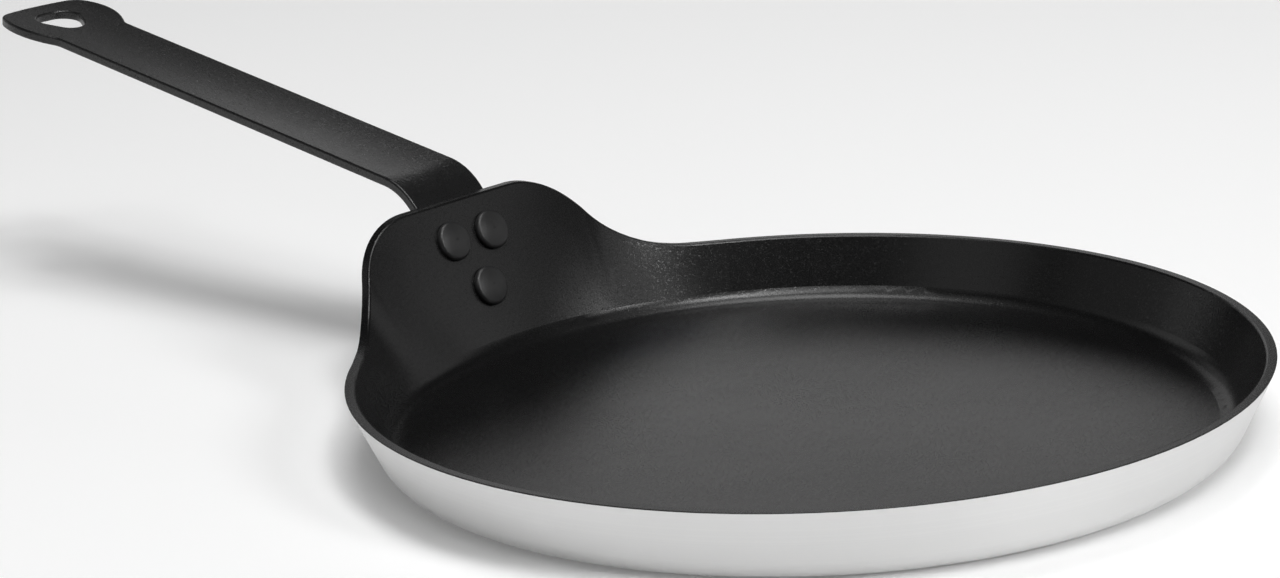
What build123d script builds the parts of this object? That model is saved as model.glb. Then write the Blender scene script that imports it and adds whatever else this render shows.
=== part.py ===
from build123d import *
import os
from math import acos, atan2, cos, degrees, radians, sin, tan

os.makedirs("parts", exist_ok=True)

# A shallow crepe pan that stands on its flat base. The origin is the centre of the base, +Z is up, and the
# handle leaves along +X. Lengths are in millimetres and angles in degrees.

# Dish
rim_radius = 130.0
pan_height = 22.3
wall_slope = 65.6
wall_thickness = 2.8
floor_thickness = 3.9
outer_corner_radius = 9.4
inner_corner_radius = 6.6

# Nonstick coating: it covers the inside, the front of the tab and the land of the rim, out to its edge
coating_thickness = 0.3
inner_rim_round = 0.8
outer_rim_round = 0.18

# Tab: the wall turns flat there, rises above the rim to a little below the handle's bend, and carries the handle
tab_slope = 66.7
tab_flat_half_width = 48.9
tab_root_angle = 38.0
tab_top_half_width = 21.9
tab_shoulder_radius = 29.5
tab_root_radius = 28.1

# Handle: a steel strip, bent over the tab, hollow across its top, with a wide end and a hanging hole
strip_width = 28.8
strip_thickness = 3.0
strip_hollow = 0.76
run_slope = 9.7
bend_height = 54.4
bend_clearance = 5.9
bend_radius = 21.7
handle_reach = 200.3
foot_margin = 10.0
foot_corner_radius = 9.0
handle_edge_round = 0.6
end_half_width = 19.2
end_widest_setback = 16.3
end_flank_radius = 26.0
end_arc_radius = 40.0
end_corner_radius = 8.0
end_neck_radius = 6.0
hole_setback = 8.2
hole_length = 16.6
hole_half_width = 7.8
hole_wide_corner_radius = 6.0
hole_narrow_corner_radius = 5.2

# Rivets: two side by side, a little below the bend, and one below them
rivet_spread = 8.0
upper_rivet_drop = 7.7
rivet_row_gap = 16.2
rivet_shank_radius = 3.0
rivet_head_radius = 6.1
rivet_head_height = 2.2
rivet_crown_drop = 0.8
rivet_head_edge_round = 1.2
rivet_tail_radius = 5.0
rivet_tail_height = 2.0
rivet_hole_clearance = 0.15
rivet_seat_gap = 0.3

# Every cutter runs past what it cuts by this much
overrun = 5.0

# An edge lies on a face when it is this close to it at each of these shares of its length
closeness = 0.01
edge_shares = (0.25, 0.5, 0.75)

tab_rise = bend_height - bend_clearance - pan_height
blank_height = pan_height + tab_rise + overrun


def wall_line(depth, floor, corner):
    """Where the straight wall leaves the lower corner, and how far its line lies inside the outer face."""
    inset = depth / sin(radians(wall_slope))
    foot_radius = rim_radius - inset - (pan_height - floor) / tan(radians(wall_slope))
    tangent_length = corner * tan(radians(wall_slope) / 2)
    seam_radius = foot_radius + tangent_length * cos(radians(wall_slope))
    seam_height = floor + tangent_length * sin(radians(wall_slope))
    return inset, foot_radius - tangent_length, seam_radius, seam_height


def filled_dish(depth, floor, corner):
    """The dish filled to a face that lies at a depth below the outer face, tab included, up to the blank's top."""
    inset, flat_radius, seam_radius, seam_height = wall_line(depth, floor, corner)
    brim_radius = rim_radius - inset + (blank_height - pan_height) / tan(radians(wall_slope))
    tab_reach = seam_radius + (blank_height - seam_height) / tan(radians(tab_slope))
    flat_angle = degrees(atan2(tab_flat_half_width, tab_reach))
    with BuildPart() as filled:
        # The floor and the lower corner
        with BuildSketch(Plane.XZ):
            with BuildLine():
                Line((0, floor), (flat_radius, floor))
                RadiusArc((flat_radius, floor), (seam_radius, seam_height), -corner)
                Polyline((seam_radius, seam_height), (0, seam_height), (0, floor))
            make_face()
        revolve(axis=Axis.Z)
        # The wall, ruled from a round seam up to a brim that is flat at the tab
        with BuildLine(Plane.XY.offset(seam_height), mode=Mode.PRIVATE) as seam:
            angles = (-flat_angle, flat_angle, tab_root_angle, 180, 360 - tab_root_angle, 360 - flat_angle)
            for start, end in zip(angles, angles[1:]):
                CenterArc((0, 0), seam_radius, start, end - start)
        with BuildLine(Plane.XY.offset(blank_height), mode=Mode.PRIVATE) as brim:
            left_arc = CenterArc((0, 0), brim_radius, tab_root_angle, 180 - tab_root_angle)
            right_arc = CenterArc((0, 0), brim_radius, 180, 180 - tab_root_angle)
            tab_line = Line((tab_reach, -tab_flat_half_width), (tab_reach, tab_flat_half_width))
            Spline(tab_line @ 1, left_arc @ 0, tangents=(tab_line % 1, left_arc % 0))
            Spline(right_arc @ 1, tab_line @ 0, tangents=(right_arc % 1, tab_line % 0))
        wall_sections = (Face(seam.wire()), Face(brim.wire()))
        loft(wall_sections, ruled=True)
    return filled.part


def above_rim(drop):
    """Everything above the rim and the tab's outline, lowered by a drop."""
    shoulder_turn = degrees(acos(1 - tab_rise / (tab_shoulder_radius + tab_root_radius)))
    rim = pan_height - drop
    tab_top = rim + tab_rise
    far = 2 * rim_radius
    with BuildPart() as cutter:
        with BuildSketch(Plane.YZ):
            with BuildLine():
                top_line = Line((0, tab_top), (tab_top_half_width - drop, tab_top))
                shoulder = JernArc(top_line @ 1, top_line % 1, tab_shoulder_radius, -shoulder_turn)
                root = JernArc(shoulder @ 1, shoulder % 1, tab_root_radius, shoulder_turn)
                Polyline(root @ 1, (far, rim), (far, blank_height + overrun), (0, blank_height + overrun),
                         (0, tab_top))
            make_face()
            mirror(about=Plane.YZ)
        extrude(amount=rim_radius + tab_rise)
        with BuildSketch(Plane.XY.offset(rim)):
            Rectangle(far, 2 * far, align=(Align.MAX, Align.CENTER))
        extrude(amount=blank_height)
    return cutter.part


def tab_face(depth, floor, corner):
    """Plane of a tab face on the centre line at rim height: X across the tab, Y up its slope, Z outwards."""
    inset, flat_radius, seam_radius, seam_height = wall_line(depth, floor, corner)
    reach = seam_radius + (pan_height - seam_height) / tan(radians(tab_slope))
    outwards = (sin(radians(tab_slope)), 0, -cos(radians(tab_slope)))
    return Plane(origin=(reach, 0, pan_height), x_dir=(0, 1, 0), z_dir=outwards)


def lies_on(edge, shape):
    """Whether an edge follows a shape."""
    return all(shape.distance_to(edge @ share) < closeness for share in edge_shares)


metal_depth = wall_thickness - coating_thickness
outer_face = filled_dish(0, 0, outer_corner_radius)
metal_face = filled_dish(metal_depth, floor_thickness - coating_thickness, inner_corner_radius + coating_thickness)
inner_face = filled_dish(wall_thickness, floor_thickness, inner_corner_radius)
tab_front = tab_face(wall_thickness, floor_thickness, inner_corner_radius)
tab_thickness = (tab_face(0, 0, outer_corner_radius).origin - tab_front.origin).dot(tab_front.z_dir)
tab_back = tab_front.offset(tab_thickness)

# The handle's line: up the tab, round the bend and out along the run
foot_way = Vector(cos(radians(tab_slope)), 0, sin(radians(tab_slope)))
run_way = Vector(cos(radians(run_slope)), 0, sin(radians(run_slope)))
bend_corner_rise = (bend_height - tab_back.origin.Z) / foot_way.Z
bend_setback = bend_radius * tan(radians(tab_slope - run_slope) / 2)
upper_rivet_rise = bend_corner_rise - bend_setback - upper_rivet_drop
lower_rivet_rise = upper_rivet_rise - rivet_row_gap
rivet_places = {"rivet_left": (rivet_spread, upper_rivet_rise), "rivet_right": (-rivet_spread, upper_rivet_rise),
                "rivet_lower": (0, lower_rivet_rise)}

# Pan body: one aluminium pressing with its tab
with BuildPart() as pan_body:
    add(outer_face)
    add(metal_face, mode=Mode.SUBTRACT)
    metal_trim = above_rim(coating_thickness)
    add(metal_trim, mode=Mode.SUBTRACT)
    # The rim's inner edge is rounded, and the coating follows it
    metal_inside = metal_face.shells()[0]
    inner_edges = edges().filter_by(lambda edge: lies_on(edge, metal_inside) and lies_on(edge, metal_trim))
    fillet(inner_edges, radius=inner_rim_round - coating_thickness)
    with BuildSketch(tab_front):
        with Locations(*rivet_places.values()):
            Circle(rivet_shank_radius + rivet_hole_clearance)
    extrude(amount=tab_thickness + overrun, both=True, mode=Mode.SUBTRACT)

# Nonstick coating: a skin over the inside that turns out over the land of the rim
with BuildPart() as nonstick_coating:
    rim_trim = above_rim(0)
    add(outer_face)
    add(rim_trim, mode=Mode.SUBTRACT)
    add(inner_face, mode=Mode.SUBTRACT)
    # The rounded edges of the rim and of the tab
    inside = inner_face.shells()[0]
    outside = outer_face.shells()[0]
    inner_edges = edges().filter_by(lambda edge: lies_on(edge, inside) and lies_on(edge, rim_trim))
    outer_edges = edges().filter_by(lambda edge: lies_on(edge, outside) and lies_on(edge, rim_trim))
    fillet(inner_edges, radius=inner_rim_round)
    fillet(outer_edges, radius=outer_rim_round)
    add(pan_body.part, mode=Mode.SUBTRACT)
    with BuildSketch(tab_front):
        with Locations(*rivet_places.values()):
            Circle(rivet_shank_radius + rivet_hole_clearance)
    extrude(amount=tab_thickness + overrun, both=True, mode=Mode.SUBTRACT)

# Handle
bend_corner = tab_back.origin + foot_way * bend_corner_rise
foot_end = tab_back.origin + foot_way * (lower_rivet_rise - foot_margin)
foot_top = bend_corner - foot_way * bend_setback
run_start = bend_corner + run_way * bend_setback
hollow_radius = (strip_width ** 2 / 4 + strip_hollow ** 2) / (2 * strip_hollow)
blank_half_width = end_half_width + overrun


def across_strip(place, way):
    """Plane square to the strip: X across it, Y up from its top face, Z along it."""
    return Plane(origin=place, x_dir=(0, 1, 0), z_dir=way)


def strip_section(plane, hollow):
    """Cross-section of the strip, level with its top face at the strip's own edges, flat or hollow."""
    edge_rise = (blank_half_width ** 2 - strip_width ** 2 / 4) / (2 * hollow_radius) if hollow else 0
    middle = -strip_hollow if hollow else 0
    with BuildSketch(plane) as section:
        with BuildLine():
            top_points = ((blank_half_width, edge_rise), (0, middle), (-blank_half_width, edge_rise))
            under_points = [(x, y - strip_thickness) for x, y in reversed(top_points)]
            if hollow:
                top = ThreePointArc(*top_points)
                under = ThreePointArc(*under_points)
            else:
                top = Line(top_points[0], top_points[2])
                under = Line(under_points[0], under_points[2])
            Line(top @ 1, under @ 0)
            Line(under @ 1, top @ 0)
        make_face()
    return section.sketch


with BuildLine() as bend_line:
    TangentArc(foot_top, run_start, tangent=foot_way)
run_plane = Plane(origin=bend_corner, x_dir=run_way, z_dir=Vector(0, -1, 0).cross(run_way))

with BuildPart() as handle:
    flat_section = strip_section(across_strip(foot_top, foot_way), False)
    hollow_section = strip_section(across_strip(run_start, run_way), True)
    extrude(flat_section, amount=-(foot_top - foot_end).length)
    sweep(sections=(flat_section, hollow_section), path=bend_line.wires()[0], multisection=True)
    extrude(hollow_section, amount=handle_reach + overrun)
    # The plan of the strip: parallel sides, then a neck that opens into the rounded wide end
    with BuildSketch(run_plane):
        widest = handle_reach - end_widest_setback
        side_centre = end_half_width - end_flank_radius
        with Locations((widest, side_centre)):
            Circle(end_flank_radius)
        with Locations((widest, -side_centre)):
            Circle(end_flank_radius, mode=Mode.INTERSECT)
        with Locations((handle_reach - end_arc_radius, 0)):
            Circle(end_arc_radius, mode=Mode.INTERSECT)
        end_corners = vertices().group_by(Axis.X)[-1]
        fillet(end_corners, radius=end_corner_radius)
        with Locations((widest, 0)):
            Rectangle(2 * handle_reach, strip_width, align=(Align.MAX, Align.CENTER))
        necks = vertices().filter_by(lambda corner: round(abs(corner.Y) - strip_width / 2) == 0)
        fillet(necks.group_by(Axis.X)[-1], radius=end_neck_radius)
    extrude(amount=handle_reach, both=True, mode=Mode.INTERSECT)
    # The hanging hole: an egg shape that points at the pan
    with BuildSketch(run_plane):
        wide_end = handle_reach - hole_setback - hole_wide_corner_radius
        narrow_end = handle_reach - hole_setback - hole_length + hole_narrow_corner_radius
        with Locations((wide_end, hole_half_width - hole_wide_corner_radius),
                       (wide_end, hole_wide_corner_radius - hole_half_width)):
            Circle(hole_wide_corner_radius)
        with Locations((narrow_end, 0)):
            Circle(hole_narrow_corner_radius)
        make_hull()
    extrude(amount=overrun + strip_thickness, both=True, mode=Mode.SUBTRACT)
    # The foot's rounded corners, the worn edges all round, and the rivet holes
    foot_corners = edges().filter_by(Axis((0, 0, 0), tab_back.z_dir)).group_by(Axis.Z)[0]
    fillet(foot_corners, radius=foot_corner_radius)
    fillet(edges(), radius=handle_edge_round)
    with BuildSketch(tab_back):
        with Locations(*rivet_places.values()):
            Circle(rivet_shank_radius + rivet_hole_clearance)
    extrude(amount=strip_thickness + overrun, both=True, mode=Mode.SUBTRACT)

# Rivets: a low domed head in front of the tab, a shank through all the sheets, and a formed tail behind
stack = tab_thickness + strip_thickness
rivets = {}
for name, (across, up) in rivet_places.items():
    rivet_place = tab_front.from_local_coords((across, up))
    rivet_plane = Plane(origin=rivet_place, x_dir=tab_front.x_dir, z_dir=tab_front.y_dir)
    with BuildPart() as rivet:
        with BuildSketch(rivet_plane):
            with BuildLine():
                crown = (0, rivet_seat_gap + rivet_head_height)
                crown_edge = (rivet_head_radius, rivet_seat_gap + rivet_head_height - rivet_crown_drop)
                tail_end = (0, -stack - rivet_tail_height)
                crown_radius = (rivet_head_radius ** 2 + rivet_crown_drop ** 2) / (2 * rivet_crown_drop)
                tail_radius = (rivet_tail_radius ** 2 + rivet_tail_height ** 2) / (2 * rivet_tail_height)
                RadiusArc(crown, crown_edge, crown_radius)
                Polyline(crown_edge, (rivet_head_radius, rivet_seat_gap), (rivet_shank_radius, rivet_seat_gap),
                         (rivet_shank_radius, -stack), (rivet_tail_radius, -stack))
                RadiusArc((rivet_tail_radius, -stack), tail_end, tail_radius)
                Line(tail_end, crown)
            make_face()
            fillet(vertices().group_by(Axis.X)[-1].sort_by(Axis.Y)[-1], radius=rivet_head_edge_round)
        revolve(axis=Axis(rivet_place, tab_front.z_dir))
    rivets[name] = rivet

pieces = {"pan_body": pan_body, "nonstick_coating": nonstick_coating, "handle": handle, **rivets}
for name, piece in pieces.items():
    piece.part.label = name
    export_step(piece.part, f"parts/{name}.step")
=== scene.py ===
from math import pi, radians

import bpy
from mathutils import Matrix, Vector


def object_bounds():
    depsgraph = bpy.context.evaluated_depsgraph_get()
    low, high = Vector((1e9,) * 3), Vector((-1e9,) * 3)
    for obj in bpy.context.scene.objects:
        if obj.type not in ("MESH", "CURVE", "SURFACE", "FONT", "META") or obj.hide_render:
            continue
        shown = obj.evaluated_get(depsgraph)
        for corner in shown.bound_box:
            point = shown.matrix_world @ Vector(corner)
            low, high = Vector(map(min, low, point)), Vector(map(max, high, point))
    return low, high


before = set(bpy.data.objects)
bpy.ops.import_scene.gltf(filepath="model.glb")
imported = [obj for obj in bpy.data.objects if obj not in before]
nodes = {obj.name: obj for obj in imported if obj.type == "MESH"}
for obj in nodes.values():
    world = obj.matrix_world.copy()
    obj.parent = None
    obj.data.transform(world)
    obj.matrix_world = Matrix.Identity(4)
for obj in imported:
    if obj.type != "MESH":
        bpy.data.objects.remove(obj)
cad_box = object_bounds()

# Lengths are in metres, in the part's own frame: the base rests on the floor and +X runs along the handle.
# Colours are linear.

millimetre = 0.001
black = (0, 0, 0)
white = (1, 1, 1)
upwards = Vector((0, 0, 1))

# The middle of what a noise or cell texture gives, which runs from 0 to 1
texture_middle = 0.5


class Field:
    """A number or a vector that varies over a surface, so that shader maths reads as plain sums."""

    def __init__(self, finish, socket):
        self.finish = finish
        self.socket = socket

    def maths(self, operation, *values, clamp=False):
        """One sum over these numbers and fields, in their order."""
        inputs = {str(place): value for place, value in enumerate(values)}
        return self.finish.node("ShaderNodeMath", {"operation": operation, "use_clamp": clamp}, inputs)

    def __add__(self, other):
        return self.maths("ADD", self, other)

    __radd__ = __add__

    def __mul__(self, other):
        return self.maths("MULTIPLY", self, other)

    __rmul__ = __mul__

    def __sub__(self, other):
        return self.maths("SUBTRACT", self, other)

    def __rsub__(self, other):
        return self.maths("SUBTRACT", other, self)

    def __truediv__(self, other):
        return self.maths("DIVIDE", self, other)

    def __rtruediv__(self, other):
        return self.maths("DIVIDE", other, self)

    def __pow__(self, other):
        return self.maths("POWER", self, other)

    def clamped(self):
        """The value, held between 0 and 1."""
        return self.maths("ADD", self, 0, clamp=True)

    def over(self, low, high):
        """How far the value has come from low to high, eased, from 0 to 1."""
        settings = {"interpolation_type": "SMOOTHSTEP"}
        inputs = {"Value": self, "From Min": low, "From Max": high}
        return self.finish.node("ShaderNodeMapRange", settings, inputs)

    def between(self, start, end):
        """The colour this far along from one colour to another."""
        inputs = {"Factor": self, "A": start, "B": end}
        return self.finish.node("ShaderNodeMix", {"data_type": "RGBA"}, inputs, "Result")

    def shade(self, dark, light):
        """A colour from dark to light, halfway where the value is 0."""
        return (self + texture_middle).clamped().between(dark, light)


class Finish:
    """A procedural material, built round one surface shader."""

    def __init__(self, name):
        self.material = bpy.data.materials.new(name)
        self.material.use_nodes = True
        self.tree = self.material.node_tree
        self.shader = self.tree.nodes["Principled BSDF"]

    def node(self, kind, settings=None, inputs=None, output="0"):
        """Adds a node of any kind and gives the output that is asked for."""
        made = self.tree.nodes.new(kind)
        for name, value in (settings or {}).items():
            setattr(made, name, value)
        for name, value in (inputs or {}).items():
            self.feed(self.find(made.inputs, name), value)
        return Field(self, self.find(made.outputs, output))

    def find(self, sockets, name):
        """The socket in use with that name or number."""
        if name.isdigit():
            return sockets[int(name)]
        return next(socket for socket in sockets if socket.name == name and socket.enabled)

    def feed(self, socket, value):
        """Links a field to an input, or sets the input to a plain value."""
        if isinstance(value, Field):
            self.tree.links.new(value.socket, socket)
        elif isinstance(value, tuple) and socket.type == "RGBA":
            socket.default_value = (*value, 1)
        else:
            socket.default_value = value

    def place(self):
        """Where a point of the surface lies on its piece."""
        return self.node("ShaderNodeTexCoord", output="Object")

    def rays(self, kind):
        """1 for light rays of this kind, and 0 for others."""
        return self.node("ShaderNodeLightPath", output=f"Is {kind} Ray")

    def split(self, vector):
        made = self.node("ShaderNodeSeparateXYZ", inputs={"Vector": vector}).socket.node
        return [Field(self, socket) for socket in made.outputs]

    def join(self, x, y, z):
        return self.node("ShaderNodeCombineXYZ", inputs={"X": x, "Y": y, "Z": z})

    def vector(self, operation, *vectors):
        """One sum over these vectors and vector fields, in their order."""
        inputs = {str(place): value for place, value in enumerate(vectors)}
        return self.node("ShaderNodeVectorMath", {"operation": operation}, inputs)

    def axis_distance(self, place):
        """How far a point lies from the pan's axis."""
        x, y, z = self.split(place)
        return (x * x + y * y) ** 0.5

    def noise(self, place, size, detail=2, roughness=0.5):
        """Soft cloudy noise about 0, whose features are about this size."""
        inputs = {"Vector": place, "Scale": 1 / size, "Detail": detail, "Roughness": roughness}
        return self.node("ShaderNodeTexNoise", inputs=inputs) - texture_middle

    def flecks(self, place, size, share, tilt):
        """Flat flecks, each tilted its own way: where they are, and the skin's direction with them."""
        cell_inputs = {"Vector": place, "Scale": 1 / size}
        cells = self.node("ShaderNodeTexVoronoi", {"feature": "F1"}, cell_inputs, "Color")
        fleck = self.split(cells)[2].over(1 - share, 1 - share / 2)
        lean = self.vector("SUBTRACT", cells, (texture_middle,) * 3)
        lean_inputs = {"Vector": lean, "Scale": fleck * tilt}
        lean = self.node("ShaderNodeVectorMath", {"operation": "SCALE"}, lean_inputs)
        facing = self.node("ShaderNodeNewGeometry", output="Normal")
        return fleck, self.vector("NORMALIZE", self.vector("ADD", facing, lean))

    def bump(self, height, depth, under=None):
        """The skin's direction when a height field raises it by this depth, on top of a skin under it."""
        inputs = {"Height": height, "Distance": depth, "Strength": 1}
        if under is not None:
            inputs["Normal"] = under
        return self.node("ShaderNodeBump", inputs=inputs)

    def surface(self, **sockets):
        """Feeds the surface shader, whose input names are written with underscores."""
        for name, value in sockets.items():
            self.feed(self.find(self.shader.inputs, name.replace("_", " ")), value)
        return self.material


def bare_aluminium():
    """Satin aluminium, turned in fine rings round the pan's axis."""
    dull, bright = (0.70, 0.70, 0.70), (0.84, 0.84, 0.835)
    fine_ring, broad_ring = 0.35 * millimetre, 2.5 * millimetre
    grain_size, drift_size = 0.5 * millimetre, 60 * millimetre
    ring_depth, grain_depth = 0.006 * millimetre, 0.008 * millimetre
    quarter_turn = 0.25
    finish = Finish("bare_aluminium")
    place = finish.place()
    height = finish.split(place)[2]
    rings = finish.join(finish.axis_distance(place), height, 0)
    fine = finish.noise(rings, fine_ring, detail=4, roughness=0.7)
    broad = finish.noise(rings, broad_ring, detail=3)
    grain = finish.noise(place, grain_size, detail=3)
    drift = finish.noise(place, drift_size, detail=3)
    streaks = fine * 0.6 + broad * 0.4
    base = (streaks * 0.9 + drift * 0.3).shade(dull, bright)
    rough = 0.48 + streaks * 0.25 + drift * 0.12
    skin = finish.bump(fine, ring_depth)
    skin = finish.bump(grain, grain_depth, under=skin)
    return finish.surface(Base_Color=base, Metallic=1, Roughness=rough, Normal=skin,
                          Anisotropic=0.7, Anisotropic_Rotation=quarter_turn)


def nonstick_black():
    """Matte black nonstick coating with an orange-peel skin and fine bright flecks."""
    dark, light, glint = (0.003, 0.003, 0.0031), (0.007, 0.007, 0.0071), (0.02, 0.02, 0.02)
    peel_size, grit_size, drift_size = 1.1 * millimetre, 0.42 * millimetre, 45 * millimetre
    fleck_size = 0.22 * millimetre
    skin_depth = 0.014 * millimetre
    finish = Finish("nonstick_black")
    place = finish.place()
    peel = finish.noise(place, peel_size, detail=1)
    grit = finish.noise(place, grit_size, roughness=0.6)
    drift = finish.noise(place, drift_size, detail=3)
    fleck, tilted = finish.flecks(place, fleck_size, share=0.15, tilt=0.2)
    base = (drift * 0.8 + grit * 0.8).shade(dark, light)
    base = (fleck * 0.6).between(base, glint)
    rough = 0.27 + drift * 0.06 + grit * 0.10 - fleck * 0.06
    skin = finish.bump(peel, skin_depth, under=tilted)
    skin = finish.bump(grit, skin_depth, under=skin)
    return finish.surface(Base_Color=base, Roughness=rough, Normal=skin, IOR=1.43)


def handle_black():
    """Black powder coating on steel, finely pebbled."""
    dark, light = (0.004, 0.004, 0.0041), (0.010, 0.010, 0.0101)
    pebble_size, grit_size, drift_size = 0.8 * millimetre, 0.38 * millimetre, 30 * millimetre
    fleck_size = 0.26 * millimetre
    pebble_depth, grit_depth = 0.055 * millimetre, 0.035 * millimetre
    finish = Finish("handle_black")
    place = finish.place()
    pebble = finish.noise(place, pebble_size, detail=1)
    grit = finish.noise(place, grit_size, roughness=0.6)
    drift = finish.noise(place, drift_size, detail=3)
    fleck, tilted = finish.flecks(place, fleck_size, share=0.2, tilt=0.3)
    base = (drift * 0.7 + grit * 0.7).shade(dark, light)
    rough = 0.31 + drift * 0.08 + grit * 0.10 - fleck * 0.06
    skin = finish.bump(pebble, pebble_depth, under=tilted)
    skin = finish.bump(grit, grit_depth, under=skin)
    return finish.surface(Base_Color=base, Roughness=rough, Normal=skin, IOR=1.5)


def rivet_grey():
    """Dark coated rivet metal with a soft sheen."""
    dark, light = (0.010, 0.010, 0.0102), (0.020, 0.020, 0.0203)
    pebble_size, grit_size, drift_size = 0.8 * millimetre, 0.25 * millimetre, 5 * millimetre
    pebble_depth, grit_depth = 0.030 * millimetre, 0.012 * millimetre
    finish = Finish("rivet_grey")
    place = finish.place()
    pebble = finish.noise(place, pebble_size)
    grit = finish.noise(place, grit_size, detail=3)
    drift = finish.noise(place, drift_size)
    base = (drift * 0.9 + grit * 0.5).shade(dark, light)
    rough = 0.38 + drift * 0.12 + grit * 0.12
    skin = finish.bump(pebble, pebble_depth)
    skin = finish.bump(grit, grit_depth, under=skin)
    return finish.surface(Base_Color=base, Roughness=rough, Normal=skin, IOR=1.45)


def studio_floor():
    """Pale paper that the camera and reflections see a little lighter near the pan, and white far from it."""
    dull, pale = (0.90, 0.90, 0.90), (0.94, 0.94, 0.94)
    fibre_size = 1.5 * millimetre
    near_reach, far_reach = 0.7, 2.2
    near_lift, far_lift = 0.08, 0.7
    finish = Finish("studio_floor")
    place = finish.place()
    base = finish.noise(place, fibre_size).shade(dull, pale)
    far = finish.axis_distance(place).over(near_reach, far_reach)
    shown = finish.rays("Camera") + finish.rays("Glossy") + finish.rays("Transmission")
    lift = (shown * (near_lift + far * far_lift)).clamped()
    return finish.surface(Base_Color=base, Roughness=0.9,
                          Emission_Color=lift.between(black, white), Emission_Strength=1)


def dress(node, material):
    for slot in nodes[node].material_slots:
        slot.material = material


dress("pan_body", bare_aluminium())
dress("nonstick_coating", nonstick_black())
dress("handle", handle_black())
rivet_finish = rivet_grey()
for rivet in ("rivet_left", "rivet_right", "rivet_lower"):
    dress(rivet, rivet_finish)

# The photograph's camera: where it stands, the point it looks at, how far it is rolled, and its lens and film
# width in millimetres
camera_place = Vector((-0.63436, 0.72893, 0.32194))
camera_target = Vector((0.139747, -0.079561, 0.00011))
camera_roll = radians(-3.0805)
lens = 101.25
sensor = 36
nearest_seen = 0.01
farthest_seen = 50

view = (camera_target - camera_place).normalized()
level_right = view.cross(upwards).normalized()
right = Matrix.Rotation(camera_roll, 3, -view) @ level_right
up = right.cross(view)
camera_data = bpy.data.cameras.new("camera")
camera_data.lens = lens
camera_data.sensor_width = sensor
camera_data.clip_start = nearest_seen
camera_data.clip_end = farthest_seen
camera = bpy.data.objects.new("camera", camera_data)
camera.matrix_world = Matrix.Translation(camera_place) @ Matrix((right, up, -view)).transposed().to_4x4()
bpy.context.scene.collection.objects.link(camera)
bpy.context.scene.camera = camera

# Floor, level with the underside of the base
floor_reach = 4
floor_height = cad_box[0][2]
floor_corners = [(-floor_reach, -floor_reach, floor_height), (floor_reach, -floor_reach, floor_height),
                 (floor_reach, floor_reach, floor_height), (-floor_reach, floor_reach, floor_height)]
floor_mesh = bpy.data.meshes.new("studio_floor")
floor_mesh.from_pydata(floor_corners, [], [(0, 1, 2, 3)])
floor = bpy.data.objects.new("studio_floor", floor_mesh)
bpy.context.scene.collection.objects.link(floor)
floor_mesh.materials.append(studio_floor())

# Studio light. A lamp's place is how far it stands to the right of the picture, away behind the pan, and up
away = Vector((view.x, view.y, 0)).normalized()
aside = away.cross(upwards)


def soft_box(name, place, size, radiance):
    """A large soft light of an even brightness, turned towards the middle of the pan."""
    width, height = size
    right_of_pan, behind_pan, above_floor = place
    lamp = bpy.data.lights.new(name, "AREA")
    lamp.shape = "RECTANGLE"
    lamp.size = width
    lamp.size_y = height
    lamp.energy = radiance * pi * width * height
    stand = aside * right_of_pan + away * behind_pan + upwards * above_floor
    box = bpy.data.objects.new(name, lamp)
    box.location = stand
    box.rotation_euler = (-stand).to_track_quat("-Z", "Y").to_euler()
    bpy.context.scene.collection.objects.link(box)


soft_box("streak_box", (2.4, -1.87, 1.77), (0.7, 0.97), 15.5)
soft_box("key_box", (2.1, -1.1, 1.36), (0.9, 1.1), 1.2)
soft_box("back_box", (0.06, 1.3, 0.45), (0.6, 0.5), 0.66)
soft_box("back_left_box", (-0.45, 1.3, 0.5), (0.35, 0.35), 0.28)
soft_box("top_box", (0, 0, 2.2), (2, 2), 0.4)
soft_box("small_top_box", (0, 0.3, 2.0), (0.8, 0.8), 5)
soft_box("front_top_box", (0, -0.95, 1.95), (1.2, 0.5), 4.4)
soft_box("front_box", (0, -1.2, 1.6), (1.2, 0.3), 1.5)
soft_box("right_top_box", (0.5, -0.7, 1.8), (0.5, 0.5), 14)
soft_box("right_box", (2.6, 0.27, 0.68), (1.37, 0.96), 0.75)
soft_box("right_back_box", (1.5, 1.1, 0.7), (0.8, 0.8), 0.42)
soft_box("left_box", (-1.8, 0.3, 0.8), (1.2, 1.0), 0.26)
soft_box("left_back_box", (-1.4, 1.2, 0.7), (0.8, 0.8), 0.54)
soft_box("left_front_box", (-1.3, -1.0, 0.9), (1.0, 0.8), 0.6)

# World: white to the camera, directly or through glass, and dark to the pan, so that only the lamps light it
world = bpy.data.worlds.new("studio")
bpy.context.scene.world = world
world.use_nodes = True
world_tree = world.node_tree
dark_room = world_tree.nodes["Background"]
dark_room.inputs["Color"].default_value = (*black, 1)
dark_room.inputs["Strength"].default_value = 0
backdrop = world_tree.nodes.new("ShaderNodeBackground")
backdrop.inputs["Color"].default_value = (*white, 1)
backdrop.inputs["Strength"].default_value = 1
rays = world_tree.nodes.new("ShaderNodeLightPath")
shown = world_tree.nodes.new("ShaderNodeMath")
shown.operation = "ADD"
either = world_tree.nodes.new("ShaderNodeMixShader")
world_tree.links.new(rays.outputs["Is Camera Ray"], shown.inputs[0])
world_tree.links.new(rays.outputs["Is Transmission Ray"], shown.inputs[1])
world_tree.links.new(shown.outputs["Value"], either.inputs["Fac"])
world_tree.links.new(dark_room.outputs["Background"], either.inputs[1])
world_tree.links.new(backdrop.outputs["Background"], either.inputs[2])
world_tree.links.new(either.outputs["Shader"], world_tree.nodes["World Output"].inputs["Surface"])

bpy.context.scene.view_settings.view_transform = "Standard"
